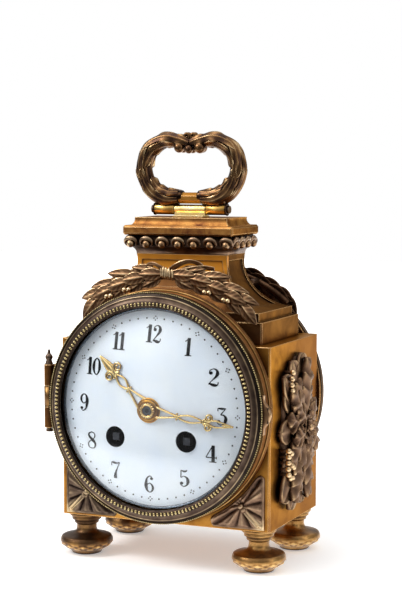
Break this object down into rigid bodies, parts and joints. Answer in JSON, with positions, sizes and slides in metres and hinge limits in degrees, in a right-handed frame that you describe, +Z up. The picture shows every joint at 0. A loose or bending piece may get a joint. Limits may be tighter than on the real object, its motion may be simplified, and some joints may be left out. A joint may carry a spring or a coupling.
{
  "type": "officer's travelling clock",
  "caption": "Gilt bronze officer's travelling clock: box case on turned feet, concave roof, swinging handle, hinged round bezel and rear door over a domed dial, hands and striking movement.",
  "frame": {"origin": "centre of the four feet, on the surface that the clock stands on", "axes": "+X right seen from the front, +Y to the rear, +Z up; the dial faces -Y"},
  "size_m": [0.1104, 0.0986, 0.1901],
  "materials": {
    "gilt_bronze": "aged gilt bronze, satin with brighter worn edges",
    "dark_bronze": "dark matt patinated bronze",
    "brass": "polished lacquered brass",
    "steel": "polished blue-grey steel",
    "enamel": "glossy white enamel on copper",
    "glass": "clear domed glass",
    "bell_metal": "pale turned bell metal"
  },
  "bodies": {
    "case": {"back_plate": "brass", "balance_bridge": "brass", "base_plate": "brass", "bell": "bell_metal", "bell_stand": "steel", "bezel_hinge_pin": "gilt_bronze", "case_body": "gilt_bronze", "case_shoulder": "gilt_bronze", "clicks": "steel", "cornice": "gilt_bronze", "dial": "enamel", "foot_front_left": "gilt_bronze", "foot_front_right": "gilt_bronze", "foot_rear_left": "gilt_bronze", "foot_rear_right": "gilt_bronze", "foot_screws": "steel", "front_drum_ring": "gilt_bronze", "front_plate": "brass", "garland_front": "gilt_bronze", "garland_rear": "gilt_bronze", "handle_bracket": "gilt_bronze", "handle_pin": "steel", "pillars": "brass", "platform": "brass", "rear_drum_ring": "gilt_bronze", "rear_hinge_pin": "gilt_bronze", "side_mount_left": "gilt_bronze", "side_mount_right": "gilt_bronze", "spandrel_left": "gilt_bronze", "spandrel_right": "gilt_bronze", "tie_screws": "steel", "top_slab": "gilt_bronze"},
    "handle": {"handle": "gilt_bronze"},
    "bezel": {"bezel_ring": "dark_bronze", "bezel_glass": "glass", "glass_retainer": "gilt_bronze"},
    "rear_door": {"rear_door": "dark_bronze"},
    "minute_hand": {"minute_hand": "gilt_bronze", "cannon_pinion": "steel", "hand_nut": "steel"},
    "minute_wheel": {"minute_wheel": "brass"},
    "hour_hand": {"hour_hand": "gilt_bronze", "hour_wheel": "brass"},
    "fourth_wheel": {"fourth_wheel": "brass"},
    "escape_wheel": {"escape_wheel": "brass"},
    "third_wheel": {"third_wheel": "brass"},
    "centre_wheel": {"centre_wheel": "brass"},
    "second_wheel": {"second_wheel": "brass"},
    "going_barrel": {"going_barrel": "brass", "going_mainspring": "steel"},
    "pin_wheel": {"pin_wheel": "brass"},
    "fly": {"fly": "steel"},
    "strike_second_wheel": {"strike_second_wheel": "brass"},
    "strike_barrel": {"strike_barrel": "brass", "strike_mainspring": "steel"},
    "going_arbor": {"going_arbor": "steel"},
    "strike_arbor": {"strike_arbor": "steel"},
    "lever": {"lever": "steel"},
    "balance": {"balance": "brass"},
    "hammer": {"hammer": "steel"}
  },
  "joints": [
    {"name": "handle_swing", "type": "hinge", "parent": "case", "child": "handle", "pos_m": [0, 0, 0.1559], "axis": [1, 0, 0], "range_deg": [-85, 85]},
    {"name": "bezel_open", "type": "hinge", "parent": "case", "child": "bezel", "pos_m": [-0.0531, -0.0366, 0.073], "axis": [0, 0, -1], "range_deg": [0, 110]},
    {"name": "rear_door_open", "type": "hinge", "parent": "case", "child": "rear_door", "pos_m": [-0.0531, 0.0366, 0.073], "axis": [0, 0, 1], "range_deg": [0, 110]},
    {"name": "minute_hand_turn", "type": "hinge", "parent": "case", "child": "minute_hand", "pos_m": [0, 0, 0.071], "axis": [0, 1, 0], "continuous": true},
    {"name": "minute_wheel_turn", "type": "hinge", "parent": "case", "child": "minute_wheel", "pos_m": [0, 0, 0.0822], "axis": [0, 1, 0], "continuous": true},
    {"name": "hour_hand_turn", "type": "hinge", "parent": "case", "child": "hour_hand", "pos_m": [0, 0, 0.071], "axis": [0, 1, 0], "continuous": true},
    {"name": "fourth_wheel_turn", "type": "hinge", "parent": "case", "child": "fourth_wheel", "pos_m": [0.0031, 0, 0.09118], "axis": [0, 1, 0], "continuous": true},
    {"name": "escape_wheel_turn", "type": "hinge", "parent": "case", "child": "escape_wheel", "pos_m": [0.01273, 0, 0.09118], "axis": [0, 1, 0], "continuous": true},
    {"name": "third_wheel_turn", "type": "hinge", "parent": "case", "child": "third_wheel", "pos_m": [-0.002, 0, 0.08235], "axis": [0, 1, 0], "continuous": true},
    {"name": "centre_wheel_turn", "type": "hinge", "parent": "case", "child": "centre_wheel", "pos_m": [0, 0, 0.071], "axis": [0, 1, 0], "continuous": true},
    {"name": "second_wheel_turn", "type": "hinge", "parent": "case", "child": "second_wheel", "pos_m": [0.01334, 0, 0.07629], "axis": [0, 1, 0], "continuous": true},
    {"name": "going_barrel_turn", "type": "hinge", "parent": "case", "child": "going_barrel", "pos_m": [0.0167, 0, 0.0582], "axis": [0, 1, 0], "continuous": true},
    {"name": "pin_wheel_turn", "type": "hinge", "parent": "case", "child": "pin_wheel", "pos_m": [-0.01234, 0, 0.09045], "axis": [0, 1, 0], "continuous": true},
    {"name": "fly_turn", "type": "hinge", "parent": "case", "child": "fly", "pos_m": [-0.02105, 0, 0.09548], "axis": [0, 1, 0], "continuous": true},
    {"name": "strike_second_turn", "type": "hinge", "parent": "case", "child": "strike_second_wheel", "pos_m": [-0.01605, 0, 0.07659], "axis": [0, 1, 0], "continuous": true},
    {"name": "strike_barrel_turn", "type": "hinge", "parent": "case", "child": "strike_barrel", "pos_m": [-0.0167, 0, 0.0582], "axis": [0, 1, 0], "continuous": true},
    {"name": "going_winding", "type": "hinge", "parent": "case", "child": "going_arbor", "pos_m": [0.0167, 0, 0.0582], "axis": [0, 1, 0], "continuous": true},
    {"name": "strike_winding", "type": "hinge", "parent": "case", "child": "strike_arbor", "pos_m": [-0.0167, 0, 0.0582], "axis": [0, 1, 0], "continuous": true},
    {"name": "lever_rock", "type": "hinge", "parent": "case", "child": "lever", "pos_m": [0.00622, 0, 0.09118], "axis": [0, 1, 0], "range_deg": [-8, 8]},
    {"name": "balance_swing", "type": "hinge", "parent": "case", "child": "balance", "pos_m": [-0.00077, 0, 0.09118], "axis": [0, 1, 0], "range_deg": [-220, 220], "stiffness_Nm_per_rad": 0.0000004},
    {"name": "hammer_lift", "type": "hinge", "parent": "case", "child": "hammer", "pos_m": [-0.006, 0, 0.0368], "axis": [0, 1, 0], "range_deg": [0, 16]}
  ],
  "couplings": [
    {"joint": "minute_wheel_turn", "follows": "minute_hand_turn", "ratio": -0.33333},
    {"joint": "hour_hand_turn", "follows": "minute_hand_turn", "ratio": 0.083333},
    {"joint": "escape_wheel_turn", "follows": "fourth_wheel_turn", "ratio": -10},
    {"joint": "third_wheel_turn", "follows": "fourth_wheel_turn", "ratio": -0.13333},
    {"joint": "centre_wheel_turn", "follows": "fourth_wheel_turn", "ratio": 0.016667},
    {"joint": "second_wheel_turn", "follows": "fourth_wheel_turn", "ratio": -0.0023148},
    {"joint": "going_barrel_turn", "follows": "fourth_wheel_turn", "ratio": 0.00034722},
    {"joint": "fly_turn", "follows": "pin_wheel_turn", "ratio": -8.5714},
    {"joint": "strike_second_turn", "follows": "pin_wheel_turn", "ratio": -0.13889},
    {"joint": "strike_barrel_turn", "follows": "pin_wheel_turn", "ratio": 0.020833}
  ]
}
